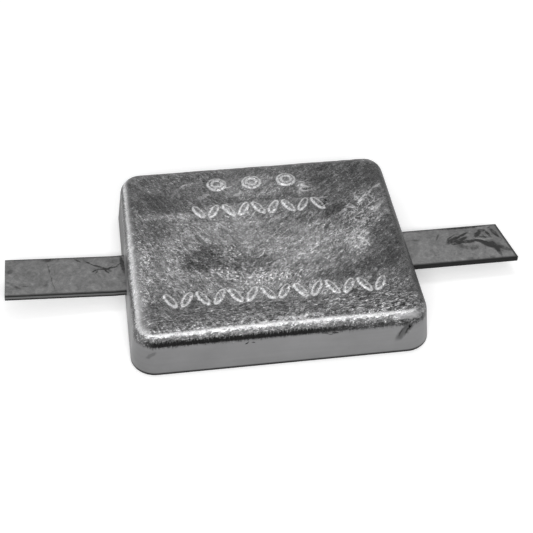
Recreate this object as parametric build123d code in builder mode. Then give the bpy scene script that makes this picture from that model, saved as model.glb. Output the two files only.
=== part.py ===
from build123d import *
from math import cos, radians, sin, tan
import os

# Weld-on hull anode: a zinc block cast in one pour round a piece of steel flat bar.
# Millimetres. The back face, which goes against the hull, lies on Z = 0 with the origin at its centre.
# +X runs along the bar towards its straight arm, +Z points away from the hull.

# Zinc block, measured at the back face
block_length = 140.0
block_width = 120.0
block_height = 25.0
side_draft = 7.0            # degrees, lets the casting leave its open mould
plan_corner_radius = 12.0   # shrinks with the draft further up
top_edge_radius = 7.5
back_edge_radius = 1.0      # where the cooling metal drew away from the mould

# Steel flat bar
bar_width = 25.0
bar_thickness = 3.0
bar_edge_radius = 0.4
bar_standoff = 6.0          # underside of the bar above the back face

# Arms of the bar, each reach measured out from the end of the block at its back face
straight_arm_reach = 52.0   # on the centre line of the bar
shear_skew = 10.5           # degrees off square at the straight arm's cut end
bent_arm_reach = 55.8
bend_offset = 3.5           # flat stretch between the block and the bend
bend_radius = 40.0          # on the centre line of the bar
bend_angle = 3.6            # degrees, away from the hull

# Places worked out from the sizes above
bar_height = bar_standoff + bar_thickness / 2
straight_end = block_length / 2 + straight_arm_reach
shear_overrun = bar_width / 2 * tan(radians(shear_skew))
bend_start = -block_length / 2 - bend_offset
bent_run = (bent_arm_reach - bend_offset - bend_radius * sin(radians(bend_angle))) / cos(radians(bend_angle))


def bar_section(station, direction):
    """Section of the flat bar at a station along X, facing the direction given."""
    across = Plane(origin=(station, 0, bar_height), x_dir=(0, 1, 0), z_dir=direction)
    with BuildSketch(across) as section:
        RectangleRounded(bar_width, bar_thickness, bar_edge_radius)
    return section.sketch


# Zinc casting: drafted prism with a rolled outer edge, and the slot that the bar fills
with BuildPart() as anode_block:
    with BuildSketch(Plane.XY):
        RectangleRounded(block_length, block_width, plan_corner_radius)
    extrude(amount=block_height, taper=side_draft)
    outer_face = anode_block.faces().sort_by(Axis.Z)[-1]
    fillet(outer_face.edges(), radius=top_edge_radius)
    back_face = anode_block.faces().sort_by(Axis.Z)[0]
    fillet(back_face.edges(), radius=back_edge_radius)
    slot_mouth = bar_section(block_length / 2, (-1, 0, 0))
    extrude(slot_mouth, amount=block_length, mode=Mode.SUBTRACT)

# Flat bar: straight through the block, one arm kinked away from the hull, the other sheared askew
with BuildPart() as steel_strap:
    with BuildLine(Plane.XZ) as centre_line:
        through = Line((straight_end + shear_overrun, bar_height), (bend_start, bar_height))
        kink = JernArc(start=through @ 1, tangent=through % 1, radius=bend_radius, arc_size=-bend_angle)
        Line(kink @ 1, kink @ 1 + (kink % 1) * bent_run)
    sweep(bar_section(straight_end + shear_overrun, (-1, 0, 0)), path=centre_line.line)
    shear = Plane(origin=(straight_end, 0, 0), z_dir=Vector(1, 0, 0).rotate(Axis.Z, shear_skew))
    split(bisect_by=shear, keep=Keep.BOTTOM)

anode_block.part.label = "anode_block"
steel_strap.part.label = "steel_strap"

os.makedirs("parts", exist_ok=True)
export_step(anode_block.part, "parts/anode_block.step")
export_step(steel_strap.part, "parts/steel_strap.step")
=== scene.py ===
"""Looks of a weld-on hull anode: a rough zinc casting poured round a dull flat steel bar.

The casting and the bar are modelled again as detailed meshes round the fixed frame, and each
stands for its CAD node. All lengths are in metres, in the frame's own axes: +X along the bar,
-Y towards the viewer and +Z away from the hull.
"""

import logging
import math
from contextlib import contextmanager
from dataclasses import dataclass, field
from enum import Enum
from typing import Callable, Iterator, Optional, Sequence, Union

import bmesh
import bpy
from mathutils import Matrix, Quaternion, Vector


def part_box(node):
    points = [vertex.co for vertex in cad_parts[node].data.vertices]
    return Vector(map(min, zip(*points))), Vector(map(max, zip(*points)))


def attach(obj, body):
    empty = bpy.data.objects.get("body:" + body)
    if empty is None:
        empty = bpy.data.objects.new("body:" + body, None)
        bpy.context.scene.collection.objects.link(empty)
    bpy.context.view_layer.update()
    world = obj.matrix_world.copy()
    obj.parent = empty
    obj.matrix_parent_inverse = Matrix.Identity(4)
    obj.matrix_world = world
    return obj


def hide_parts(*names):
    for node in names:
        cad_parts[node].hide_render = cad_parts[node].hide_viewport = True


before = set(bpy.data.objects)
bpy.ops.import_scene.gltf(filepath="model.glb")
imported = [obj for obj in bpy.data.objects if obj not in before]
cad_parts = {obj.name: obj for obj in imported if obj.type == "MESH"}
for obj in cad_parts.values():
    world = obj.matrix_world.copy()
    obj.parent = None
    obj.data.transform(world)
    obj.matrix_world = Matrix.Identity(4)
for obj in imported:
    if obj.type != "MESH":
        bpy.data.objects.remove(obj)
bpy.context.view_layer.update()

log = logging.getLogger("hull_anode")

MM = 0.001
IMAGE_SIDE = 533

Socket = bpy.types.NodeSocket
Value = Union[Socket, float]
Stops = Sequence[tuple[float, float]]


class Bench:
    """The work bench: selecting, editing and finishing one piece at a time."""

    @staticmethod
    def clear() -> None:
        """Leaves nothing selected."""
        bpy.ops.object.select_all(action="DESELECT")

    @staticmethod
    def take(*pieces: bpy.types.Object) -> None:
        """Selects these pieces alone and makes the first one active."""
        Bench.clear()
        for piece in pieces:
            piece.select_set(True)
        bpy.context.view_layer.objects.active = pieces[0]

    @staticmethod
    def name(piece_name: str) -> bpy.types.Object:
        """Names the primitive that was just added.

        Args:
            piece_name: The name for the active object and its mesh.

        Returns:
            The active object.
        """
        piece = bpy.context.view_layer.objects.active
        piece.name = piece_name
        piece.data.name = piece_name
        return piece

    @staticmethod
    def block(piece_name: str, low: Vector, high: Vector) -> bpy.types.Object:
        """Adds a box between two corners.

        Args:
            piece_name: The name of the new piece.
            low: Its lowest corner.
            high: Its highest corner.

        Returns:
            The box, with its place in its mesh.
        """
        Bench.clear()
        bpy.ops.mesh.primitive_cube_add(size=1.0, location=(low + high) / 2, scale=high - low)
        piece = Bench.name(piece_name)
        Bench.settle(piece)
        return piece

    @staticmethod
    def settle(piece: bpy.types.Object) -> None:
        """Moves a piece's place, turn and scale into its mesh."""
        Bench.take(piece)
        bpy.ops.object.transform_apply(location=True, rotation=True, scale=True)

    @staticmethod
    @contextmanager
    def editing(piece: bpy.types.Object, mode: str = "FACE") -> Iterator[None]:
        """Opens a piece in edit mode with nothing selected, and closes it afterwards.

        Args:
            piece: The piece to edit.
            mode: VERT, EDGE or FACE, what is picked and worked on.

        Yields:
            Nothing; the operators act on the piece.
        """
        Bench.take(piece)
        bpy.ops.object.mode_set(mode="EDIT")
        bpy.ops.mesh.select_mode(type=mode)
        bpy.ops.mesh.select_all(action="DESELECT")
        try:
            yield
        finally:
            bpy.ops.object.mode_set(mode="OBJECT")

    @staticmethod
    def pick_faces(test: Callable[[Vector, Vector], bool]) -> None:
        """Selects the faces whose centre and normal pass a test."""
        mesh = bmesh.from_edit_mesh(bpy.context.edit_object.data)
        for face in mesh.faces:
            face.select_set(test(face.calc_center_median(), face.normal))
        bmesh.update_edit_mesh(bpy.context.edit_object.data)

    @staticmethod
    def pick_edges(test: Callable[[Vector, Vector], bool]) -> None:
        """Selects the edges whose two ends pass a test."""
        mesh = bmesh.from_edit_mesh(bpy.context.edit_object.data)
        for edge in mesh.edges:
            edge.select_set(test(edge.verts[0].co, edge.verts[1].co))
        bmesh.update_edit_mesh(bpy.context.edit_object.data)

    @staticmethod
    def finish(piece: bpy.types.Object, kind: str, **settings: object) -> None:
        """Adds one modifier with its settings and applies it."""
        Bench.take(piece)
        modifier = piece.modifiers.new(kind.lower(), kind)
        for key, value in settings.items():
            setattr(modifier, key, value)
        bpy.ops.object.modifier_apply(modifier=modifier.name)

    @staticmethod
    def carve(piece: bpy.types.Object, cutter: bpy.types.Object) -> None:
        """Takes a cutter's shape out of a piece and removes the cutter."""
        Bench.finish(piece, "BOOLEAN", operation="DIFFERENCE", solver="EXACT", object=cutter)
        bpy.data.objects.remove(cutter)

    @staticmethod
    def merge(piece: bpy.types.Object, others: Sequence[bpy.types.Object]) -> None:
        """Joins other pieces into one."""
        Bench.take(piece, *others)
        bpy.ops.object.join()


class Shader:
    """A material's node sheet, with a short call for each kind of node it uses."""

    def __init__(self, name: str) -> None:
        """Starts an empty sheet with a Principled shader.

        Args:
            name: The material's name.
        """
        self.material = bpy.data.materials.new(name)
        self.material.use_nodes = True
        self.nodes = self.material.node_tree.nodes
        self.links = self.material.node_tree.links
        self.nodes.clear()
        self.surface = self.nodes.new("ShaderNodeBsdfPrincipled")
        output = self.nodes.new("ShaderNodeOutputMaterial")
        self.links.new(self.surface.outputs["BSDF"], output.inputs["Surface"])
        self.place = self.nodes.new("ShaderNodeTexCoord").outputs["Object"]

    def feed(self, socket: Socket, value: Value) -> None:
        """Links a socket to another node, or sets it to a number."""
        if isinstance(value, bpy.types.NodeSocket):
            self.links.new(value, socket)
        else:
            socket.default_value = value

    def math(self, operation: str, a: Value, b: Value = 0.0) -> Socket:
        """One sum on one or two values.

        Args:
            operation: Blender's name of the operation.
            a: The first value.
            b: The second value.

        Returns:
            The result.
        """
        node = self.nodes.new("ShaderNodeMath")
        node.operation = operation
        self.feed(node.inputs[0], a)
        self.feed(node.inputs[1], b)
        return node.outputs[0]

    def plus(self, a: Value, b: Value) -> Socket:
        """Adds two values."""
        return self.math("ADD", a, b)

    def minus(self, a: Value, b: Value) -> Socket:
        """Takes the second value from the first."""
        return self.math("SUBTRACT", a, b)

    def times(self, first: Value, *others: Value) -> Socket:
        """Multiplies values."""
        for other in others:
            first = self.math("MULTIPLY", first, other)
        return first

    def centred(self, value: Socket, swing: Value) -> Socket:
        """Turns a value about 0.5 into one about 0 that swings this far in all."""
        return self.times(self.minus(value, 0.5), swing)

    def swing(self, value: Socket, strength: Value) -> Socket:
        """Turns a value about 0.5 into a factor about 1 that swings up and down alike."""
        return self.math("EXPONENT", self.centred(value, strength))

    def blend(self, factor: Value, a: Value, b: Value) -> Socket:
        """Mixes two values: a where the factor is 0 and b where it is 1."""
        node = self.nodes.new("ShaderNodeMix")
        node.data_type = "FLOAT"
        self.feed(node.inputs["Factor"], factor)
        self.feed(node.inputs["A"], a)
        self.feed(node.inputs["B"], b)
        return node.outputs["Result"]

    def frame_of(self, centre: Sequence[float], turn: float, size: Sequence[float], upright: bool = False,
                 where: Optional[Socket] = None) -> Socket:
        """Coordinates seen from a local frame.

        Args:
            centre: Where the local frame's origin lies, in metres.
            turn: Its turn in its own plane, in degrees.
            size: The length of its unit along each axis, in metres.
            upright: Whether its plane is the front's, X and Z, instead of X and Y.
            where: Coordinates to read, by default the object's own.

        Returns:
            The coordinates, in units of that size.
        """
        node = self.nodes.new("ShaderNodeMapping")
        node.vector_type = "TEXTURE"
        angle = math.radians(turn)
        node.inputs["Location"].default_value = centre
        node.inputs["Rotation"].default_value = (math.pi / 2, -angle, 0.0) if upright else (0.0, 0.0, angle)
        node.inputs["Scale"].default_value = size
        self.links.new(where or self.place, node.inputs["Vector"])
        return node.outputs["Vector"]

    def wander(self, grain: float, reach: float) -> Socket:
        """Coordinates that wander a little, so that what is drawn on them gets uneven edges.

        Args:
            grain: The size of the wandering's features, in metres.
            reach: How far it may go either way, in metres.

        Returns:
            The coordinates.
        """
        node = self.nodes.new("ShaderNodeTexNoise")
        node.inputs["Scale"].default_value = 1.0 / grain
        node.inputs["Detail"].default_value = 4.0
        node.inputs["Roughness"].default_value = 0.6
        self.links.new(self.place, node.inputs["Vector"])
        offset = self.nodes.new("ShaderNodeVectorMath")
        offset.operation = "MULTIPLY_ADD"
        self.links.new(node.outputs["Color"], offset.inputs[0])
        offset.inputs[1].default_value = (4 * reach,) * 3
        start = self.nodes.new("ShaderNodeVectorMath")
        start.operation = "SUBTRACT"
        self.links.new(self.place, start.inputs[0])
        start.inputs[1].default_value = (2 * reach,) * 3
        self.links.new(start.outputs[0], offset.inputs[2])
        return offset.outputs[0]

    def axes(self, vector: Socket) -> tuple[Socket, Socket, Socket]:
        """Splits a vector into X, Y and Z."""
        node = self.nodes.new("ShaderNodeSeparateXYZ")
        self.links.new(vector, node.inputs[0])
        return node.outputs[0], node.outputs[1], node.outputs[2]

    def noise(self, grain: float, detail: float = 3.0, roughness: float = 0.5, warp: float = 0.0,
              where: Optional[Socket] = None) -> Socket:
        """Cloudy noise.

        Args:
            grain: The size of its largest features, in the units of where.
            detail: How many finer layers it has.
            roughness: How strong the finer layers are.
            warp: How far it is distorted.
            where: Coordinates to read, by default the object's own.

        Returns:
            A value about 0.5 on average.
        """
        node = self.nodes.new("ShaderNodeTexNoise")
        node.inputs["Scale"].default_value = 1.0 / grain
        node.inputs["Detail"].default_value = detail
        node.inputs["Roughness"].default_value = roughness
        node.inputs["Distortion"].default_value = warp
        self.links.new(where or self.place, node.inputs["Vector"])
        return node.outputs["Fac"]

    def streaks(self, turn: float, size: Sequence[float], detail: float, roughness: float,
                warp: float = 0.0) -> Socket:
        """Cloudy noise that is drawn out one way.

        Args:
            turn: The turn of its long features in plan, in degrees.
            size: Their length, width and height, in metres.
            detail: How many finer layers it has.
            roughness: How strong the finer layers are.
            warp: How far it is distorted.

        Returns:
            A value about 0.5 on average.
        """
        return self.noise(1.0, detail, roughness, warp, where=self.frame_of((0.0, 0.0, 0.0), turn, size))

    def ramp(self, value: Socket, stops: Stops) -> Socket:
        """Turns a value into another through a few stops.

        Args:
            value: The value to read, from 0 to 1.
            stops: Pairs of place and grey level, in order of place.

        Returns:
            The level.
        """
        node = self.nodes.new("ShaderNodeValToRGB")
        elements = node.color_ramp.elements
        elements[0].position, elements[1].position = stops[0][0], stops[-1][0]
        for place, _ in stops[1:-1]:
            elements.new(place)
        for element, (_, level) in zip(elements, stops):
            element.color = (level, level, level, 1.0)
        self.links.new(value, node.inputs["Fac"])
        return node.outputs["Color"]

    def span(self, value: Socket, low: float, high: float, to: tuple[float, float] = (0.0, 1.0)) -> Socket:
        """Maps a value smoothly from one span to another and holds it at the ends."""
        node = self.nodes.new("ShaderNodeMapRange")
        node.interpolation_type = "SMOOTHSTEP"
        self.links.new(value, node.inputs["Value"])
        for name, number in zip(("From Min", "From Max", "To Min", "To Max"), (low, high, *to)):
            node.inputs[name].default_value = number
        return node.outputs["Result"]

    def patch(self, area: "Patch", where: Socket) -> Socket:
        """Draws one oval patch.

        Args:
            area: The patch.
            where: The coordinates to draw it on.

        Returns:
            Its strength: 1 at its middle and 0 outside.
        """
        centre = (area.x * MM, -58 * MM, area.y * MM) if area.upright else (area.x * MM, area.y * MM, 0.0)
        deep = 15 * MM if area.upright else 1.0
        local = self.frame_of(centre, area.turn, (area.length * MM, area.width * MM, deep), area.upright, where)
        fall = self.nodes.new("ShaderNodeTexGradient")
        fall.gradient_type = "SPHERICAL"
        self.links.new(local, fall.inputs["Vector"])
        return self.span(fall.outputs["Fac"], 0.0, 1.0 - area.core)

    def lifted(self, level: Value, areas: Sequence["Patch"], where: Socket) -> Socket:
        """Adds the lift of every patch to a level."""
        for area in areas:
            level = self.plus(level, self.times(self.patch(area, where), area.lift))
        return level

    def grey(self, level: Socket, tint: Sequence[float] = (1.0, 1.0, 1.0)) -> None:
        """Gives the surface a grey level with a slight tint as its colour."""
        node = self.nodes.new("ShaderNodeCombineColor")
        for socket, share in zip(node.inputs, tint):
            self.links.new(self.times(level, share), socket)
        self.links.new(node.outputs["Color"], self.surface.inputs["Base Color"])

    def bump(self, height: Socket, depth: float, strength: float) -> Socket:
        """Fine relief that is too small for the mesh.

        Args:
            height: The relief, from 0 to 1.
            depth: Its height in metres.
            strength: How much of it shows.

        Returns:
            The normal.
        """
        node = self.nodes.new("ShaderNodeBump")
        node.inputs["Distance"].default_value = depth
        node.inputs["Strength"].default_value = strength
        self.links.new(height, node.inputs["Height"])
        return node.outputs["Normal"]


@dataclass(frozen=True)
class Patch:
    """A lighter or darker oval area of a surface, with its half length and half width, in millimetres."""

    x: float
    y: float
    length: float
    width: float
    turn: float
    lift: float
    core: float = 0.3
    upright: bool = False


def stroke(start: tuple[float, float], end: tuple[float, float], width: float, lift: float,
           upright: bool = False) -> Patch:
    """Gives the thin patch that runs from one point to another.

    Args:
        start: Where it starts, in millimetres.
        end: Where it ends.
        width: Its full width.
        lift: How much lighter it is, or darker if negative.
        upright: Whether it is drawn on the front instead of the outer face.

    Returns:
        The patch, a little longer than the distance.
    """
    run, rise = end[0] - start[0], end[1] - start[1]
    half = math.hypot(run, rise) / 2 + width / 2
    middle = ((start[0] + end[0]) / 2, (start[1] + end[1]) / 2)
    return Patch(*middle, half, width / 2, math.degrees(math.atan2(rise, run)), lift, 0.5, upright)


@dataclass(frozen=True)
class CastZinc:
    """Finish of the casting: frosty, mottled zinc with crystal grains lit by painted glints, painted highlights on
    the front and left edges, a painted dark reflection under the front edge and painted shade on the other edges.
    """

    name: str = "cast_zinc"
    face_top: float = 25.0 * MM
    roll_radius: float = 7.5 * MM
    tint: tuple[float, float, float] = (1.0, 1.0, 1.012)
    metallic: float = 0.9
    relief_depth: float = 0.55 * MM
    side_level: float = 0.208
    side_roughness: float = 0.5
    face_level: float = 0.103
    face_darkest: float = 0.055
    face_roughness: float = 0.36
    calm: float = 0.84
    grain_swing: float = 8.2
    pour_swing: float = 3.0
    # painted glints on the crystal grains
    glint_level: float = 0.42
    # painted highlight on the rim of each raised mark
    rim_highlight_level: float = 0.36
    # painted pale reflection on the shoulder and painted dark reflection under the front edge
    painted_shoulder_level: float = 0.06
    painted_band_level: float = 0.008
    # painted highlight along the front crest and the left ridge
    highlight_level: float = 0.7
    highlight_share: float = 0.6
    smear_level: float = 0.27
    # Where each painted light or shade shows, at each share of the roll's height, and of a raised mark's height for
    # the rim highlights: shoulder a painted pale reflection, crest and ridge painted highlights, foot painted light
    # and shade, hollow painted shade.
    shoulder: Stops = ((0.0, 0.0), (0.22, 0.0), (0.4, 1.0), (0.55, 1.0), (0.7, 0.0))
    crest: Stops = ((0.0, 0.0), (0.56, 0.0), (0.67, 1.0), (0.75, 1.0), (0.79, 0.0))
    ridge: Stops = ((0.0, 0.0), (0.5, 0.0), (0.62, 1.0), (0.76, 0.9), (0.9, 0.15), (1.0, 0.0))
    foot: Stops = ((0.0, 0.0), (0.15, 1.0), (0.48, 1.0), (0.62, 0.0))
    hollow: Stops = ((0.0, 0.0), (0.7, 0.0), (0.83, 1.0), (0.93, 0.9), (0.99, 0.0))
    rim: Stops = ((0.0, 0.0), (0.06, 0.0), (0.25, 1.0), (0.68, 0.9), (0.9, 0.1), (1.0, 0.1))
    frost: tuple[Patch, ...] = (
        Patch(-10, -8, 62, 30, 0, 0.09, 0.55),
        Patch(-22, 14, 48, 13, 0, 0.035),
        Patch(-8, 21, 40, 6, 2, 0.07, 0.5),
        Patch(-48, 20, 20, 5, 2, 0.05),
        Patch(-2, 37, 29, 12, 0, 0.068, 0.4),
        Patch(24, 36, 8, 5, -50, 0.05),
        Patch(43, -5, 9, 12, -15, 0.11),
        Patch(40, -12, 7, 7, 40, 0.07),
        Patch(18, -8, 28, 14, 12, 0.04),
        Patch(31, -2, 13, 7, 10, 0.025),
        Patch(17, -10, 9, 8, 30, 0.028),
        Patch(-6, 1, 10, 5, 20, 0.028),
        Patch(-41, 5, 7, 6, 0, 0.028),
        Patch(46, 11, 14, 8, 52, 0.008),
        Patch(-48, -26, 22, 14, 0, 0.06),
        Patch(-60, -20, 6, 36, 0, 0.07),
        Patch(0, -28, 28, 6, 3, 0.078),
        Patch(0, -37, 56, 7, 0, 0.07, 0.5),
        Patch(-33, -13, 13, 11, 0, -0.12, 0.4),
        Patch(-13, -16, 17, 9, -6, -0.10, 0.3),
        Patch(-29, -4, 10, 6, -40, -0.08),
        Patch(50, -25, 13, 8, 8, -0.036),
        Patch(59, -12, 12, 22, 0, -0.036),
        Patch(37, 16, 8, 6, 45, -0.07),
        Patch(54, 0, 6, 5, 40, -0.02),
        Patch(12, 9, 24, 5, 4, -0.05),
        Patch(-53, 9, 10, 9, 0, -0.04),
        Patch(46, 42, 30, 16, 0, -0.04),
        Patch(-50, 32, 16, 10, 0, -0.03),
        Patch(44, -48, 26, 10, 0, 0.02),
        Patch(-36, -50, 26, 8, 0, 0.018),
    )
    restless: tuple[Patch, ...] = (
        Patch(-22, -14, 30, 16, -10, 0.6),
        Patch(0, -52, 90, 26, 0, 0.3, 0.4),
        Patch(46, -46, 26, 16, 0, 0.5),
        Patch(-8, -26, 30, 8, 0, 0.65, 0.3),
        Patch(40, 6, 26, 20, 40, 0.2),
        Patch(-46, 36, 24, 14, 0, -0.2),
        Patch(44, 44, 20, 12, 0, 0.15),
        Patch(0, 2, 46, 12, 0, -0.12),
        Patch(-60, -14, 7, 42, 0, 0.3),
    )
    laps: tuple[Patch, ...] = (
        stroke((37, 11), (44, 18), 1.8, 0.18),
        stroke((44, 18), (48, 16), 1.6, 0.14),
        stroke((48, 19), (54, 24.5), 2.0, 0.20),
        stroke((54, 24), (58.5, 30), 1.6, 0.18),
        stroke((58, 29), (64, 34), 1.5, 0.18),
        stroke((44, 3), (51, 8), 1.8, 0.18),
        stroke((54, 5), (60, 10), 1.6, 0.16),
        stroke((60, 0), (64, 1.5), 1.4, 0.12),
        stroke((45, -5), (48.5, -13), 2.4, 0.16),
        stroke((52, 10), (58, 18), 2.8, 0.10),
        stroke((56, 13), (62, 21), 2.4, 0.09),
        stroke((-61, 19), (-34, 21.5), 3.0, 0.04),
        stroke((-43, 34), (-39, 40), 2.6, 0.07),
        stroke((-39, 40), (-35, 43), 2.2, 0.13),
        stroke((-35, 43), (-27, 44), 2.2, 0.10),
        stroke((-31, 31), (-24, 34), 3.0, 0.14),
        stroke((-13, 31), (-7, 34.5), 2.4, 0.14),
        stroke((-54, -36), (-50, -33), 2.0, 0.12),
        stroke((-36, -36), (-28, -32.5), 2.0, 0.14),
        stroke((-2, -21), (3, -17.5), 1.4, 0.15),
        stroke((14, -14), (17, -14), 1.8, 0.3),
        stroke((-20, -52), (-9, -50), 1.6, 0.12),
        stroke((-12, -54), (-7, -54.5), 1.6, 0.2),
        stroke((-2, -54), (18, -52.5), 1.8, 0.18),
        stroke((20, 29), (24, 37), 3.0, 0.13),
        stroke((22, 32), (26, 31.4), 1.6, 0.22),
        stroke((22.5, 35.4), (26, 34.8), 1.6, 0.22),
        stroke((21.5, 38.6), (25, 38), 1.6, 0.2),
        stroke((28, 24), (35, 26), 1.8, 0.18),
        stroke((31, 18), (33, 24), 2.2, -0.08),
    )
    folded: tuple[Patch, ...] = (
        Patch(49, 15, 18, 11, 52, 0.28, 0.5),
        Patch(43, -8, 7, 9, 0, 0.16),
        Patch(-38, 38, 14, 8, 20, 0.05),
        Patch(24, 33, 8, 7, 0, 0.16),
        Patch(-30, -33, 22, 4, 10, 0.10),
        Patch(4, -52, 46, 5, 0, 0.14),
    )
    # painted light and shade on the left side, and painted shade at the right front corner
    flank_light_and_shade: tuple[Patch, ...] = (
        Patch(-69, 34, 6, 28, 0, -0.13, 0.5),
        Patch(-69, 3, 6, 12, 0, 0.07),
        Patch(-69, -20, 6, 14, 0, 0.10),
        Patch(70, -50, 5, 9, 0, -0.05),
    )
    # painted light and shade on the foot of the left roll
    foot_light_and_shade: tuple[Patch, ...] = (
        Patch(-68, 36, 8, 34, 0, -0.45, 0.6),
        Patch(-68, -20, 8, 13, 0, 1.0, 0.4),
    )
    # marks on the front; the first four strokes are painted shade in the gouge and under the smear
    marks_and_gouge_shade: tuple[Patch, ...] = (
        stroke((59.6, 19.0), (52.6, 8.8), 5.4, -0.115, True),
        stroke((59.8, 20.6), (57.8, 15.0), 1.6, -0.12, True),
        stroke((59.6, 19.4), (55.6, 9.8), 1.0, -0.06, True),
        stroke((54.8, 15.4), (53.0, 10.4), 1.0, -0.06, True),
        Patch(-52, 8, 26, 10, 0, -0.015, 0.6, True),
        stroke((-18.2, 14.2), (-16.6, 15.8), 0.8, -0.2, True),
        stroke((-14.8, 15.3), (-13.8, 14.7), 0.8, -0.14, True),
        stroke((-62.6, 10.5), (-58.8, 14.2), 2.4, -0.055, True),
        stroke((17.0, 16.8), (20.0, 16.3), 1.5, -0.14, True),
        stroke((21.8, 16.4), (24.4, 16.0), 1.3, -0.16, True),
        stroke((20.0, 15.5), (22.2, 15.6), 0.9, -0.12, True),
    )
    smear: Patch = Patch(57.0, 21.4, 7.8, 1.7, -3, 1.0, 0.4, True)

    def grain(self, s: Shader) -> Socket:
        """Gives the wormy grain of the open skin, drawn out the way the metal ran.

        Args:
            s: The sheet to draw on.

        Returns:
            A value about 0.5 on average.
        """
        x, y, _ = s.axes(s.place)
        rising = s.streaks(42, (1.7 * MM, 0.95 * MM, 1.2 * MM), 4.0, 0.78, 1.1)
        falling = s.streaks(-36, (1.45 * MM, 1.0 * MM, 1.2 * MM), 4.0, 0.78, 1.1)
        rippled = s.streaks(3, (2.1 * MM, 0.85 * MM, 1.2 * MM), 4.0, 0.78, 0.8)
        run = s.blend(s.span(x, -16 * MM, -6 * MM), falling, rising)
        return s.blend(s.span(y, -38 * MM, -45 * MM), run, rippled)

    def face(self, s: Shader, grain: Socket) -> Socket:
        """Mottles the rough outer face with frost, laps of the pour and crystal grains with painted glints.

        Args:
            s: The sheet to draw on.
            grain: The grain of the metal, the same as in its relief.

        Returns:
            The grey level of the face.
        """
        x, _, _ = s.axes(s.place)
        soft = s.wander(9 * MM, 3.2 * MM)
        cloud = s.centred(s.noise(7 * MM, 4.0, 0.6, 0.5), 0.12)
        level = s.math("MAXIMUM", s.plus(s.lifted(self.face_level, self.frost, soft), cloud), self.face_darkest)
        rising = s.streaks(42, (7 * MM, 1.8 * MM, 1.0), 4.0, 0.6, 0.9)
        falling = s.streaks(-62, (6 * MM, 1.8 * MM, 1.0), 4.0, 0.6, 0.9)
        pour = s.blend(s.span(x, -30 * MM, 15 * MM), falling, rising)
        lively = s.times(s.lifted(self.calm, self.restless, soft), self.grain_swing)
        level = s.times(level, s.swing(grain, lively), s.swing(pour, self.pour_swing))
        level = s.plus(s.lifted(level, self.laps, s.wander(2.5 * MM, 1.2 * MM)), self.wrinkles(s))
        return s.plus(level, s.times(self.crystal_glints(s, grain), self.glint_level))

    def wrinkles(self, s: Shader) -> Socket:
        """Draws the thin bright folds of the skin where two streams of metal met.

        Args:
            s: The sheet to draw on.

        Returns:
            How bright they are.
        """
        across = s.frame_of((0.0, 0.0, 0.0), 48, (6 * MM, 2.8 * MM, 1.0), where=s.wander(5 * MM, 1.2 * MM))
        fold = s.math("ABSOLUTE", s.minus(s.noise(1.0, 2.0, 0.5, 0.4, where=across), 0.5))
        return s.times(s.span(fold, 0.045, 0.0), s.lifted(0.0, self.folded, s.wander(6 * MM, 2 * MM)))

    def crystal_glints(self, s: Shader, grain: Socket) -> Socket:
        """Paints glints on the highest grains, in drifts.

        Args:
            s: The sheet to draw on.
            grain: The grain of the metal.

        Returns:
            How bright the painted glints are.
        """
        _, y, _ = s.axes(s.place)
        near = s.span(y, -40 * MM, -54 * MM, to=(0.0, 0.12))
        drift = s.plus(s.noise(12 * MM, 3.0, 0.6), near)
        return s.times(s.span(grain, 0.60, 0.74), s.span(drift, 0.42, 0.68, to=(0.25, 1.0)))

    def side(self, s: Shader) -> Socket:
        """Gives the smooth drafted sides their faint brushing, marks, painted shade in the gouge and under the
        smear, painted light and shade on the left and right sides, and a painted contact shade along the foot.

        Args:
            s: The sheet to draw on.

        Returns:
            The grey level of the sides.
        """
        _, _, z = s.axes(s.place)
        level = s.plus(s.centred(s.noise(20 * MM, 5.0, 0.6), 0.07), self.side_level)
        brushed = s.streaks(0, (22 * MM, 22 * MM, 1.6 * MM), 3.0, 0.6)
        level = s.plus(level, s.centred(brushed, 0.03))
        level = s.lifted(level, self.marks_and_gouge_shade, s.wander(2.5 * MM, 0.5 * MM))
        level = s.lifted(level, self.flank_light_and_shade, s.place)
        # painted contact shade along the foot of the sides
        return s.blend(s.span(z, 2.4 * MM, 1.3 * MM), level, 0.012)

    def far_edge_shade(self, s: Shader, tone: Socket, height: Socket) -> Socket:
        """Paints shade on the far and right edges.

        Args:
            s: The sheet to draw on.
            tone: The grey level so far.
            height: The share of the roll's height.

        Returns:
            The grey level.
        """
        x, y, _ = s.axes(s.place)
        right = s.times(s.span(x, 59 * MM, 63 * MM), s.span(y, -52 * MM, -44 * MM))
        far = s.math("MAXIMUM", s.span(y, 50 * MM, 54 * MM), right)
        worst = s.times(s.span(x, 59 * MM, 62 * MM), s.span(y, -18 * MM, 4 * MM))
        # painted shade on the far and right rolls
        shades = ((far, 0.97, 0.8, 0.6, 0.035), (far, 0.8, 0.5, 0.85, 0.01), (worst, 0.93, 0.8, 0.6, 0.012))
        for zone, upper, lower, share, level in shades:
            tone = s.blend(s.times(zone, s.span(height, upper, lower, to=(0.0, share))), tone, level)
        return tone

    def painted_front_reflection(self, s: Shader, tone: Socket, worn: Socket, torn: Socket, front: Socket) -> Socket:
        """Paints the torn dark reflection under the front edge, and the paler painted reflection of the shoulder
        over it.

        Args:
            s: The sheet to draw on.
            tone: The grey level so far.
            worn: The share of the roll's height, made uneven by the grain.
            torn: The same, made very uneven by the furrows.
            front: Where the front is.

        Returns:
            The grey level.
        """
        x, _, _ = s.axes(s.place)
        # painted pale reflection on the shoulder
        tone = s.plus(tone, s.times(s.ramp(worn, self.shoulder), front, self.painted_shoulder_level))
        along = s.times(s.span(x, 62 * MM, 5 * MM, to=(0.35, 1.0)), s.span(x, -65 * MM, -59 * MM))
        # painted dark reflection under the front edge
        painted_dark_band = s.times(s.span(torn, 0.45, 0.16), s.span(worn, -0.1, -0.02), front, along)
        return s.blend(painted_dark_band, tone, self.painted_band_level)

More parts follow.
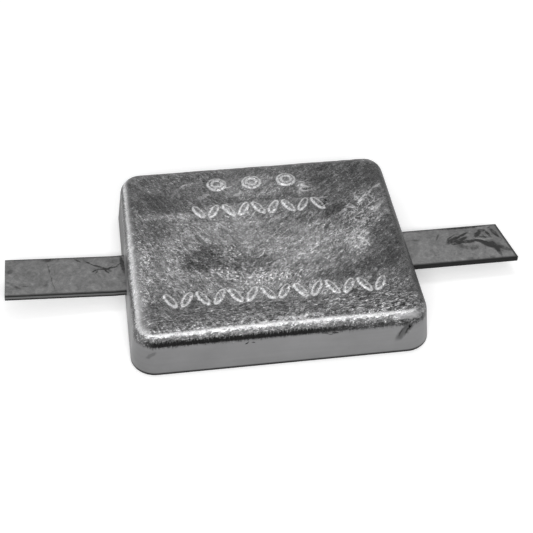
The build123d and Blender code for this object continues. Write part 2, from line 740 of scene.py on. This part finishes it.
    def edge_highlights(self, s: Shader, tone: Socket, grain: Socket, worn: Socket, front: Socket, left: Socket) -> Socket:
        """Paints highlights along the front and left edges.

        Args:
            s: The sheet to draw on.
            tone: The grey level so far.
            grain: The grain of the metal.
            worn: The share of the roll's height, made uneven by the grain.
            front: Where the front is.
            left: Where the left side is.

        Returns:
            The grey level.
        """
        x, y, _ = s.axes(s.place)
        risen = s.plus(worn, s.span(x, -50 * MM, -20 * MM, to=(0.05, 0.0)))
        crest = s.times(s.ramp(risen, self.crest), front, s.span(x, 63 * MM, 59 * MM))
        sunk = s.minus(worn, s.span(y, -15 * MM, -40 * MM, to=(0.0, 0.03)))
        ridge = s.times(s.ramp(sunk, self.ridge), left, s.span(y, -25 * MM, 25 * MM, to=(1.0, 0.7)))
        # painted highlight on the front crest and the left ridge
        painted_highlight = s.times(s.math("MAXIMUM", crest, ridge), self.highlight_share)
        return s.blend(painted_highlight, tone, s.times(s.swing(grain, 3.0), self.highlight_level))

    def left_shades(self, s: Shader, tone: Socket, height: Socket, left: Socket) -> Socket:
        """Paints shade on the left edge below its bright ridge, with painted light on its foot towards the front,
        and painted shade in the hollow behind it.

        Args:
            s: The sheet to draw on.
            tone: The grey level so far.
            height: The share of the roll's height.
            left: Where the left side is.

        Returns:
            The grey level.
        """
        _, y, _ = s.axes(s.place)
        foot = s.times(left, s.ramp(height, self.foot))
        tone = s.times(tone, s.blend(foot, 1.0, s.lifted(1.0, self.foot_light_and_shade, s.place)))
        # painted shade in the hollow behind the left ridge
        hollow = s.times(s.ramp(height, self.hollow), left, s.span(y, -5 * MM, 34 * MM, to=(0.12, 0.54)))
        return s.times(tone, s.minus(1.0, hollow))

    def edges(self, s: Shader, tone: Socket, grain: Socket, torn: Socket, height: Socket) -> Socket:
        """Paints highlights on the front and left edges, shade on the others and a dark reflection under the front
        edge, and lightens the smear.

        Args:
            s: The sheet to draw on.
            tone: The grey level so far.
            grain: The grain of the metal.
            torn: The share of the roll's height, 0 at its foot and 1 on the face, made very uneven.
            height: The even share of the roll's height.

        Returns:
            The grey level.
        """
        x, y, _ = s.axes(s.place)
        worn = s.plus(height, s.centred(grain, 0.45))
        front = s.span(y, -49 * MM, -53 * MM)
        left = s.span(x, -59 * MM, -63 * MM)
        tone = self.far_edge_shade(s, tone, height)
        tone = self.painted_front_reflection(s, tone, worn, torn, front)
        tone = self.edge_highlights(s, tone, grain, worn, front, left)
        tone = self.left_shades(s, tone, height, left)
        smear = s.patch(self.smear, s.wander(4 * MM, 0.6 * MM))
        return s.blend(smear, tone, s.plus(s.centred(grain, 0.25), self.smear_level))

    def rim_highlights(self, s: Shader, grain: Socket) -> Socket:
        """Paints highlights on the rim of each raised mark.

        Args:
            s: The sheet to draw on.
            grain: The grain of the metal.

        Returns:
            How bright the painted highlights are.
        """
        relief = s.nodes.new("ShaderNodeAttribute")
        relief.attribute_name = "relief"
        # painted highlight on each mark's rim
        rim_highlights = s.ramp(relief.outputs["Fac"], self.rim)
        return s.times(rim_highlights, s.span(grain, 0.3, 0.6, to=(0.15, 1.35)), self.rim_highlight_level)

    def material(self) -> bpy.types.Material:
        """Builds the material.

        Returns:
            The finished material.
        """
        s = Shader(self.name)
        _, _, z = s.axes(s.place)
        grain = self.grain(s)
        height = s.math("DIVIDE", s.minus(z, self.face_top - self.roll_radius), self.roll_radius)
        furrows = s.streaks(0, (0.7 * MM, 0.7 * MM, 4 * MM), 3.0, 0.65)
        torn = s.plus(height, s.centred(furrows, 0.8))
        rough_zone = s.span(torn, -0.2, 0.0)
        tone = s.blend(rough_zone, self.side(s), self.face(s, grain))
        tone = self.edges(s, tone, grain, torn, height)
        s.grey(s.plus(tone, self.rim_highlights(s, grain)), self.tint)
        s.surface.inputs["Metallic"].default_value = self.metallic
        face_roughness = s.plus(s.centred(grain, 0.3), self.face_roughness)
        s.feed(s.surface.inputs["Roughness"], s.blend(rough_zone, self.side_roughness, face_roughness))
        skin = s.blend(s.span(height, 0.95, 0.7), grain, furrows)
        s.feed(s.surface.inputs["Normal"], s.bump(s.times(skin, rough_zone), self.relief_depth, 0.9))
        return s.material


@dataclass(frozen=True)
class BarSteel:
    """Finish of the bar: dull rolled steel with painted shade along its edges and sides, stain marks, a few
    scratches and a painted shadow beside the block.
    """

    name: str = "bar_steel"
    level: float = 0.152
    darkest: float = 0.024
    # painted shade along the bar's rounded edges and on its sides
    edge_shade_level: float = 0.02
    wall_shade_level: float = 0.008
    lit_level: float = 0.11
    metallic: float = 0.7
    half_width: float = 12.5 * MM
    cut_place: float = 122.0 * MM
    cut_skew: float = 10.5
    bend_place: float = -74.75 * MM
    bend_slope: float = 0.0629
    stains_and_shadow: tuple[Patch, ...] = (
        stroke((91.8, 1.0), (98.0, 4.8), 4.0, -0.13),
        stroke((96.6, 3.8), (104.0, 8.0), 1.8, -0.11),
        stroke((95.0, 0.9), (103.2, 4.8), 2.4, -0.11),
        stroke((93.4, -0.2), (99.6, 1.0), 2.0, -0.11),
        stroke((91.6, 2.6), (94.6, 5.8), 1.2, -0.08),
        stroke((93.0, 4.4), (97.0, 7.0), 1.0, -0.07),
        stroke((97.2, 1.2), (106.4, 1.2), 3.0, -0.12),
        Patch(99.5, -2.2, 4.6, 2.2, -30, -0.07),
        Patch(104.8, -3.4, 3.8, 2.2, 20, -0.07),
        stroke((105.4, 2.2), (111.0, 0.2), 3.0, -0.13),
        stroke((109.0, 0.4), (114.0, -3.6), 4.0, -0.13),
        stroke((105.5, 3.6), (112.5, 1.0), 1.1, 0.06),
        Patch(114.8, -3.4, 6.4, 2.8, -58, -0.085, 0.5),
        stroke((115.0, -3.6), (116.6, -11.0), 2.4, -0.10),
        Patch(116.6, -3.6, 5.4, 3.2, -60, -0.045, 0.5),
        stroke((107.0, 4.4), (110.0, 7.4), 3.4, -0.12),
        stroke((109.6, 8.4), (112.6, 8.6), 2.8, -0.11),
        stroke((113.2, 8.0), (114.8, 3.0), 2.0, -0.12),
        stroke((114.2, 3.0), (108.6, 4.0), 1.6, -0.10),
        stroke((110.8, 5.6), (112.4, 2.4), 1.0, -0.09),
        stroke((116.0, 9.4), (118.4, 3.4), 3.0, -0.09),
        stroke((117.4, 5.0), (119.6, 1.6), 1.6, -0.07),
        stroke((118.0, -4.4), (121.6, -7.2), 3.4, -0.07),
        stroke((114.4, 9.6), (116.2, 10.6), 1.4, -0.07),
        Patch(106, 2, 17, 10, -10, -0.012, 0.5),
        Patch(102, 11.6, 14, 1.1, 0, -0.12, 0.6),
        Patch(100.3, -11, 3.0, 1.6, 0, -0.05),
        Patch(111.6, -11.4, 2.0, 1.4, 0, -0.05),
        stroke((86.4, 3.6), (89.0, 8.0), 1.4, -0.07),
        stroke((80.5, 7.4), (85.5, 5.4), 1.4, -0.035),
        stroke((73.5, 5.8), (77.5, 5.0), 1.6, -0.045),
        stroke((83.0, -7.4), (86.0, -6.2), 1.6, -0.03),
        stroke((-87.6, 9.2), (-83.4, 6.2), 1.2, -0.11),
        stroke((-84.4, 6.6), (-77.2, 3.6), 1.4, -0.12),
        stroke((-85.0, 1.4), (-81.4, 3.4), 1.2, -0.11),
        stroke((-82.2, 3.6), (-76.0, 3.0), 1.5, -0.12),
        stroke((-83.2, 0.4), (-81.6, 2.6), 0.9, -0.08),
        stroke((-78.4, 2.8), (-76.6, 0.4), 1.3, -0.12),
        stroke((-77.0, 2.2), (-74.8, 1.6), 1.0, -0.09),
        stroke((-77.6, 3.4), (-72.6, 4.8), 1.4, -0.12),
        stroke((-73.0, 4.6), (-70.4, 7.0), 1.1, -0.09),
        stroke((-75.8, 4.4), (-74.2, 5.8), 0.8, -0.06),
        Patch(-74.4, 8.0, 1.2, 1.4, 0, -0.05),
        stroke((-92.8, 11.0), (-89.6, 8.6), 1.3, -0.09),
        stroke((-105.6, 8.6), (-104.6, 1.2), 1.0, -0.06),
        stroke((-104.6, 1.2), (-102.3, -10.5), 0.9, -0.05),
        Patch(-105.6, 10.9, 4.2, 1.8, 0, -0.09),
        Patch(-123.4, 3.9, 2.8, 1.8, 50, -0.06),
        stroke((-125.4, -2.5), (-118.5, -8.0), 2.0, -0.045),
        Patch(-116.0, 1.5, 5, 2.6, -30, -0.03),
        stroke((-118, -6.5), (-112.5, -6.2), 1.0, -0.05),
        Patch(-106.3, -6.4, 1.6, 2.0, 0, -0.045),
        # painted shadow where the bar leaves the block
        stroke((-70.6, 13), (-69.2, -1), 2.4, -0.10),
    )

    def top(self, s: Shader) -> Socket:
        """Clouds the flat faces with a patchy film and covers them with stain marks, scratches and a painted shadow
        beside the block.

        Args:
            s: The sheet to draw on.

        Returns:
            The grey level.
        """
        x, _, _ = s.axes(s.place)
        film = s.noise(9 * MM, 5.0, 0.65, 1.8)
        mill = s.noise(1.6 * MM, 3.0, 0.65, 0.6)
        level = s.plus(self.level, s.span(x, -60 * MM, 60 * MM, to=(0.0, 0.012)))
        level = s.times(level, s.swing(film, 1.5), s.swing(mill, 1.4))
        whorl = s.math("ABSOLUTE", s.centred(s.noise(13 * MM, 2.0, 0.5, 3.0), 2.0))
        level = s.minus(level, s.span(whorl, 0.03, 0.0, to=(0.0, 0.025)))
        level = s.lifted(level, self.stains_and_shadow, s.wander(1.6 * MM, 0.3 * MM))
        return s.math("MAXIMUM", level, self.darkest)

    def lit_stripe(self, s: Shader) -> Socket:
        """Lights the upper half of the bent arm's side face, along the bend.

        Args:
            s: The sheet to draw on.

        Returns:
            How bright it is.
        """
        x, _, z = s.axes(s.place)
        rise = s.math("MAXIMUM", s.times(s.minus(x, self.bend_place), -self.bend_slope), 0.0)
        z = s.minus(z, rise)
        stripe = s.times(s.span(z, 8.6 * MM, 8.1 * MM), s.span(z, 6.9 * MM, 7.4 * MM))
        return s.times(stripe, s.span(x, 0.0, -60 * MM, to=(0.0, self.lit_level)))

    def material(self) -> bpy.types.Material:
        """Builds the material.

        Returns:
            The finished material.
        """
        s = Shader(self.name)
        _, y, _ = s.axes(s.place)
        side = s.math("ABSOLUTE", s.plus(y, s.centred(s.noise(5 * MM, 3.0), 0.4 * MM)))
        # painted shade along the rounded edges and the sheared end
        edge = s.span(side, self.half_width - 1.4 * MM, self.half_width - 0.3 * MM)
        beyond, _, _ = s.axes(s.frame_of((self.cut_place, 0.0, 0.0), self.cut_skew, (1.0, 1.0, 1.0)))
        edge = s.math("MAXIMUM", edge, s.span(beyond, -1.5 * MM, -0.6 * MM))
        level = s.blend(s.times(edge, 0.85), self.top(s), self.edge_shade_level)
        # painted shade on the bar's sides, with the painted light stripe on the bent arm
        shaded_wall = s.span(s.math("ABSOLUTE", y), self.half_width - 0.3 * MM, self.half_width - 0.1 * MM)
        s.grey(s.blend(shaded_wall, level, s.plus(self.lit_stripe(s), self.wall_shade_level)))
        s.surface.inputs["Metallic"].default_value = self.metallic
        grit = s.noise(1.6 * MM, 3.0, 0.65, 0.6)
        s.feed(s.surface.inputs["Roughness"], s.span(grit, 0.3, 0.7, to=(0.5, 0.64)))
        s.feed(s.surface.inputs["Normal"], s.bump(grit, 0.12 * MM, 0.6))
        return s.material


class MarkShape(Enum):
    """The plain raised shapes on the casting's outer face."""

    DISC = "disc"
    LOZENGE = "lozenge"


@dataclass(frozen=True)
class MarkRow:
    """A row of plain raised marks, in millimetres."""

    shape: MarkShape
    count: int
    centre: tuple[float, float]
    pitch: float
    length: float
    width: float
    turn: float = 0.0

    def places(self) -> Iterator[tuple[Vector, float]]:
        """Gives the place and turn of each mark, the turns alternating from side to side."""
        for index in range(self.count):
            offset = (index - (self.count - 1) / 2) * self.pitch
            place = Vector((self.centre[0] + offset, self.centre[1], 0.0)) * MM
            yield place, math.radians(self.turn if index % 2 else -self.turn)


@dataclass(frozen=True)
class Egg:
    """A smooth egg that leans in the plane of the front, in millimetres and degrees."""

    name: str
    centre: tuple[float, float, float]
    size: tuple[float, float, float]
    tilt: float

    def model(self) -> bpy.types.Object:
        """Models the egg.

        Returns:
            The egg, with its place in its mesh.
        """
        Bench.clear()
        bpy.ops.mesh.primitive_uv_sphere_add(segments=32, ring_count=20, radius=MM, scale=self.size,
                                             location=Vector(self.centre) * MM,
                                             rotation=(0.0, -math.radians(self.tilt), 0.0))
        egg = Bench.name(self.name)
        Bench.settle(egg)
        return egg


@dataclass(frozen=True)
class Relief:
    """One layer of the open skin's unevenness, with the size of its features and its strength in metres."""

    name: str
    size: float
    depth: int
    strength: float


@dataclass
class CastBlock:
    """The zinc casting, shaped from its outline at the back face upwards."""

    low: Vector
    high: Vector
    bar_low: Vector
    bar_high: Vector
    finish: CastZinc = field(default_factory=CastZinc)
    plan_radius: float = 12.0 * MM
    roll_radius: float = 7.5 * MM
    back_radius: float = 1.0 * MM
    draft: float = math.radians(7.0)
    plan_steps: int = 10
    roll_steps: int = 8
    mark_height: float = 0.7 * MM
    # Steps of a mark's top, each inward in millimetres and upward as a share of the mark's height.
    mark_steps: tuple[tuple[float, float], ...] = ((0.5, 0.5),)
    groove_steps: tuple[tuple[float, float], ...] = ((0.8, 0.0), (0.2, -0.8), (0.8, 0.0), (0.3, 0.8))
    slot_gap: float = 0.25 * MM
    sunken: float = 0.75
    voxel: float = 0.63 * MM
    gouge: Egg = Egg("gouge", (56.3, -60.0, 14.1), (6.8, 2.5, 3.0), 56)
    smear: Egg = Egg("smear", (57.4, -55.8, 20.8), (5.6, 1.5, 1.7), -8)
    reliefs: tuple[Relief, ...] = (Relief("swell", 14 * MM, 2, 0.35 * MM), Relief("pit", 2.2 * MM, 3, 0.35 * MM))
    rows: tuple[MarkRow, ...] = (
        MarkRow(MarkShape.DISC, 3, (-2.0, 41.0), 17.6, 9.0, 9.0),
        MarkRow(MarkShape.LOZENGE, 9, (-1.0, 21.3), 7.4, 9.8, 3.2, 62.0),
        MarkRow(MarkShape.LOZENGE, 14, (-1.0, -37.4), 7.5, 9.8, 3.2, 62.0),
    )

    def outline_slab(self) -> bpy.types.Object:
        """Makes the thin slab that has the outline of the back face.

        Returns:
            The slab, with rounded plan corners.
        """
        top = Vector((self.high.x, self.high.y, self.low.z + self.back_radius))
        slab = Bench.block("cast_block", self.low, top)
        with Bench.editing(slab, "EDGE"):
            Bench.pick_edges(lambda a, b: abs(a.z - b.z) > self.back_radius / 2)
            bpy.ops.mesh.bevel(offset=self.plan_radius, offset_type="OFFSET", segments=self.plan_steps,
                               affect="EDGES")
        return slab

    def raise_sides(self, block: bpy.types.Object) -> None:
        """Grows the drafted sides and the rolled edge out of the slab.

        Args:
            block: The slab, which becomes the block.
        """
        centre_height = self.high.z - self.roll_radius
        wall_top = centre_height + self.roll_radius * math.sin(self.draft)
        wall_height = wall_top - self.low.z - self.back_radius
        steps = [(wall_height * math.tan(self.draft), wall_height)]
        turn = (math.pi / 2 - self.draft) / self.roll_steps
        for index in range(self.roll_steps):
            start = self.draft + index * turn
            inward = self.roll_radius * (math.cos(start) - math.cos(start + turn))
            upward = self.roll_radius * (math.sin(start + turn) - math.sin(start))
            steps.append((inward, upward))
        with Bench.editing(block):
            Bench.pick_faces(lambda centre, normal: normal.z > 0.9)
            for inward, upward in steps:
                bpy.ops.mesh.inset(thickness=inward, depth=upward, use_even_offset=True)
        with Bench.editing(block, "EDGE"):
            Bench.pick_edges(lambda a, b: max(a.z, b.z) < self.low.z + self.back_radius / 2)
            bpy.ops.mesh.bevel(offset=self.back_radius * 0.9, offset_type="OFFSET", segments=3, affect="EDGES")

    def cut_slot(self, block: bpy.types.Object) -> None:
        """Opens the slot that the bar fills, a hair wider than the bar.

        Args:
            block: The block to cut.
        """
        gap = Vector((0.0, self.slot_gap, self.slot_gap))
        Bench.carve(block, Bench.block("slot_cutter", self.bar_low - gap, self.bar_high + gap))

    def mark(self, row: MarkRow) -> bpy.types.Object:
        """Models one raised mark of a row, standing on the outer face at the origin.

        Args:
            row: The row that it belongs to.

        Returns:
            The mark, with drawn-in sides, and a ring groove if it is a disc.
        """
        Bench.clear()
        depth = 3 * self.mark_height
        place = (0.0, 0.0, self.high.z + self.mark_height / 2 - depth / 2)
        if row.shape is MarkShape.DISC:
            bpy.ops.mesh.primitive_cylinder_add(vertices=28, radius=row.length / 2 * MM, depth=depth, location=place)
        else:
            bpy.ops.mesh.primitive_cylinder_add(vertices=16, radius=0.5, depth=1.0, location=place,
                                                scale=(row.length * MM, row.width * MM, depth))
        mark = Bench.name("mark")
        Bench.settle(mark)
        steps = self.mark_steps + (self.groove_steps if row.shape is MarkShape.DISC else ())
        with Bench.editing(mark):
            Bench.pick_faces(lambda centre, normal: normal.z > 0.9)
            for inward, upward in steps:
                bpy.ops.mesh.inset(thickness=inward * MM, depth=upward * self.mark_height)
        return mark

    def add_marks(self, block: bpy.types.Object) -> None:
        """Sets every row of raised marks on the outer face.

        Args:
            block: The block that they are cast on.
        """
        for row in self.rows:
            pattern = self.mark(row)
            copies = []
            for place, turn in row.places():
                copy = pattern.copy()
                copy.data = pattern.data.copy()
                bpy.context.collection.objects.link(copy)
                copy.matrix_world = Matrix.Translation(place) @ Matrix.Rotation(turn, 4, "Z")
                Bench.settle(copy)
                copies.append(copy)
            bpy.data.objects.remove(pattern)
            Bench.merge(block, copies)

    def knock(self, block: bpy.types.Object) -> None:
        """Adds the gouge near one front corner, and the metal smeared up over the roll beside it.

        Args:
            block: The block.
        """
        Bench.carve(block, self.gouge.model())
        Bench.merge(block, [self.smear.model()])

    def cast_skin(self, block: bpy.types.Object) -> None:
        """Fuses everything into one skin of even cells, with the flat back face left whole.

        Args:
            block: The block with its marks.
        """
        Bench.finish(block, "REMESH", mode="VOXEL", voxel_size=self.voxel, use_smooth_shade=True)
        Bench.finish(block, "SMOOTH", factor=0.4, iterations=1)
        with Bench.editing(block):
            Bench.pick_faces(lambda centre, normal: normal.z < -0.99 and centre.z < self.low.z + self.voxel)
            bpy.ops.mesh.delete(type="FACE")
            bpy.ops.mesh.select_mode(type="EDGE")
            bpy.ops.mesh.select_non_manifold(extend=False)
            bpy.ops.mesh.edge_face_add()

    def open_skin(self, block: bpy.types.Object) -> None:
        """Notes how rough each point is, and how high it stands in the raised marks.

        Args:
            block: The block, which gets a vertex group and an attribute.
        """
        group = block.vertex_groups.new(name="open_skin")
        start = self.high.z - self.roll_radius
        heights = [vertex.co.z for vertex in block.data.vertices]
        for index, height in enumerate(heights):
            group.add([index], min(max((height - start) / self.roll_radius, 0.0), 1.0), "REPLACE")
        relief = block.data.attributes.new("relief", "FLOAT", "POINT")
        relief.data.foreach_set("value", [min(max((h - self.high.z) / self.mark_height, 0.0), 1.0) for h in heights])

    def rough_up(self, block: bpy.types.Object) -> None:
        """Gives the open skin its swells and pits.

        Args:
            block: The block with its vertex group.
        """
        for relief in self.reliefs:
            texture = bpy.data.textures.new(relief.name, "CLOUDS")
            texture.noise_scale = relief.size
            texture.noise_depth = relief.depth
            Bench.finish(block, "DISPLACE", texture=texture, texture_coords="LOCAL", strength=relief.strength,
                         mid_level=self.sunken, vertex_group="open_skin")
            bpy.data.textures.remove(texture)

    def build(self) -> bpy.types.Object:
        """Models the casting and gives it its finish.

        Returns:
            The finished piece, riding with the frame.
        """
        block = self.outline_slab()
        self.raise_sides(block)
        self.cut_slot(block)
        self.knock(block)
        self.add_marks(block)
        self.cast_skin(block)
        self.open_skin(block)
        self.rough_up(block)
        block.data.materials.clear()
        block.data.materials.append(self.finish.material())
        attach(block, "root")
        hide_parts("anode_block")
        return block


@dataclass
class FlatBar:
    """The steel bar: straight through the block, kinked up at one end and sheared askew at the other."""

    low: Vector
    high: Vector
    finish: BarSteel = field(default_factory=BarSteel)
    thickness: float = 3.0 * MM
    bend_place: float = -74.75 * MM
    bend_angle: float = math.radians(3.6)
    bend_reach: float = 1.25 * MM
    bend_cuts: int = 6
    shear_skew: float = math.radians(10.5)
    edge_radius: float = 0.4 * MM

    def blank(self) -> bpy.types.Object:
        """Makes the straight bar blank, in cells short enough to bend.

        Returns:
            The blank, a little longer than the bar at its sheared end.
        """
        top = Vector((self.high.x + 2 * MM, self.high.y, self.low.z + self.thickness))
        return Bench.block("flat_bar", self.low, top)

    def shear(self, bar: bpy.types.Object) -> None:
        """Cuts the straight arm's end askew.

        Args:
            bar: The bar.
        """
        half_width = (self.high.y - self.low.y) / 2
        centre = self.high.x - half_width * math.tan(self.shear_skew)
        normal = (math.cos(self.shear_skew), math.sin(self.shear_skew), 0.0)
        with Bench.editing(bar):
            bpy.ops.mesh.select_all(action="SELECT")
            bpy.ops.mesh.bisect(plane_co=(centre, 0.0, 0.0), plane_no=normal, use_fill=True, clear_outer=True)

    def soften(self, bar: bpy.types.Object) -> None:
        """Rounds the rolled edges of the bar.

        Args:
            bar: The bar.
        """
        with Bench.editing(bar, "EDGE"):
            Bench.pick_edges(lambda a, b: abs(a.x - b.x) > 50 * MM)
            bpy.ops.mesh.bevel(offset=self.edge_radius, offset_type="OFFSET", segments=4, affect="EDGES")

    def kink(self, bar: bpy.types.Object) -> None:
        """Bends one arm up in a short smooth kink beside the block.

        Args:
            bar: The bar.
        """
        cuts = self.bend_cuts
        stations = [self.bend_place + self.bend_reach * (1 - 2 * index / cuts) for index in range(cuts + 1)]
        with Bench.editing(bar):
            for station in stations:
                bpy.ops.mesh.select_all(action="SELECT")
                bpy.ops.mesh.bisect(plane_co=(station, 0.0, 0.0), plane_no=(1.0, 0.0, 0.0))
        pivot_height = self.low.z + self.thickness / 2
        for station in stations[:-1]:
            with Bench.editing(bar, "VERT"):
                mesh = bmesh.from_edit_mesh(bar.data)
                for vertex in mesh.verts:
                    vertex.select_set(vertex.co.x < station - self.bend_reach / cuts)
                bmesh.update_edit_mesh(bar.data)
                bpy.ops.transform.rotate(value=-self.bend_angle / cuts, orient_axis="Y",
                                         center_override=(station, 0.0, pivot_height))

    def build(self) -> bpy.types.Object:
        """Models the bar and gives it its finish.

        Returns:
            The finished piece, riding with the frame.
        """
        bar = self.blank()
        self.shear(bar)
        self.soften(bar)
        self.kink(bar)
        Bench.take(bar)
        bpy.ops.object.shade_smooth_by_angle(angle=math.radians(35))
        bar.data.materials.clear()
        bar.data.materials.append(self.finish.material())
        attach(bar, "root")
        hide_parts("steel_strap")
        return bar


@dataclass(frozen=True)
class Softbox:
    """A flat soft lamp that points at the middle of the anode."""

    name: str
    place: tuple[float, float, float]
    width: float
    height: float
    power: float


@dataclass
class Studio:
    """Plain pale floor, soft light and the camera at the photograph's viewing angle."""

    camera_place: tuple[float, float, float] = (-0.07021, -0.41785, 0.41549)
    camera_aim: tuple[float, float, float] = (-0.00034, -0.00378, 0.00856)
    camera_roll: float = math.radians(1.77)
    focal_pixels: float = 1198.7
    sensor: float = 36.0
    fill: float = 0.42
    floor_size: float = 6.0
    floor_grey: float = 0.96
    floor_lift: float = 0.25
    lamps: tuple[Softbox, ...] = (
        Softbox("front_strip", (-0.1, -0.77, 0.66), 0.8, 0.22, 6.8),
        Softbox("side_box", (-0.85, 0.8, 0.1), 0.3, 0.25, 2.2),
        Softbox("top_box", (0.1, 0.42, 0.95), 0.5, 0.25, 1.6),
    )

    def camera(self) -> bpy.types.Object:
        """Adds the camera and makes it the scene's own.

        Returns:
            The camera.
        """
        data = bpy.data.cameras.new("camera")
        data.sensor_width = self.sensor
        data.lens = self.focal_pixels / IMAGE_SIDE * self.sensor
        data.clip_start = 0.01
        eye = bpy.data.objects.new("camera", data)
        bpy.context.collection.objects.link(eye)
        place, aim = Vector(self.camera_place), Vector(self.camera_aim)
        eye.location = place
        eye.rotation_mode = "QUATERNION"
        eye.rotation_quaternion = (aim - place).to_track_quat("-Z", "Y") @ Quaternion((0, 0, 1), self.camera_roll)
        bpy.context.scene.camera = eye
        return eye

    def lamp(self, box: Softbox) -> None:
        """Hangs one soft lamp.

        Args:
            box: The lamp.
        """
        data = bpy.data.lights.new(box.name, "AREA")
        data.shape = "RECTANGLE"
        data.size, data.size_y = box.width, box.height
        data.energy = box.power
        lamp = bpy.data.objects.new(box.name, data)
        bpy.context.collection.objects.link(lamp)
        lamp.location = box.place
        lamp.rotation_euler = (-Vector(box.place)).to_track_quat("-Z", "Y").to_euler()

    def pale(self, nodes: bpy.types.Nodes, links: bpy.types.NodeLinks) -> Socket:
        """Gives 1 for rays that should see a white background: the camera's own and those it sends on."""
        rays = nodes.new("ShaderNodeLightPath")
        seen = rays.outputs["Is Camera Ray"]
        for kind in ("Is Glossy Ray", "Is Transmission Ray"):
            either = nodes.new("ShaderNodeMath")
            either.operation = "MAXIMUM"
            links.new(seen, either.inputs[0])
            links.new(rays.outputs[kind], either.inputs[1])
            seen = either.outputs[0]
        return seen

    def world(self) -> None:
        """Sets a white background and a soft fill from all round."""
        world = bpy.data.worlds.new("studio")
        world.use_nodes = True
        bpy.context.scene.world = world
        nodes, links = world.node_tree.nodes, world.node_tree.links
        background = nodes["Background"]
        background.inputs["Color"].default_value = (1.0, 1.0, 1.0, 1.0)
        strength = nodes.new("ShaderNodeMapRange")
        strength.inputs["To Min"].default_value = self.fill
        strength.inputs["To Max"].default_value = 1.0
        links.new(self.pale(nodes, links), strength.inputs["Value"])
        links.new(strength.outputs["Result"], background.inputs["Strength"])

    def floor(self) -> bpy.types.Object:
        """Adds the floor under the anode.

        Returns:
            The floor.
        """
        Bench.clear()
        bpy.ops.mesh.primitive_plane_add(size=self.floor_size)
        floor = Bench.name("floor")
        s = Shader("pale_floor")
        s.surface.inputs["Base Color"].default_value = (self.floor_grey,) * 3 + (1.0,)
        s.surface.inputs["Emission Color"].default_value = (1.0, 1.0, 1.0, 1.0)
        lift = s.times(self.pale(s.nodes, s.links), self.floor_lift)
        s.links.new(lift, s.surface.inputs["Emission Strength"])
        s.surface.inputs["Roughness"].default_value = 0.8
        floor.data.materials.append(s.material)
        return floor

    def build(self) -> None:
        """Sets up the camera, the lamps, the world and the floor."""
        self.camera()
        for box in self.lamps:
            self.lamp(box)
        self.world()
        self.floor()
        bpy.context.scene.view_settings.view_transform = "Standard"


def corners(node: str) -> tuple[Vector, Vector]:
    """Gives a CAD node's lowest and highest corner as vectors."""
    low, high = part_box(node)
    return Vector(low), Vector(high)


def main() -> None:
    """Builds the studio and the two pieces, and logs their face counts."""
    logging.basicConfig(level=logging.INFO, format="%(name)s: %(message)s")
    Studio().build()
    block_low, block_high = corners("anode_block")
    bar_low, bar_high = corners("steel_strap")
    seat_high = Vector((bar_high.x, bar_high.y, bar_low.z + FlatBar.thickness))
    pieces = (
        CastBlock(block_low, block_high, bar_low, seat_high).build(),
        FlatBar(bar_low, bar_high).build(),
    )
    for piece in pieces:
        log.info("%s: %d faces", piece.name, len(piece.data.polygons))


if __name__ == "__main__":
    main()
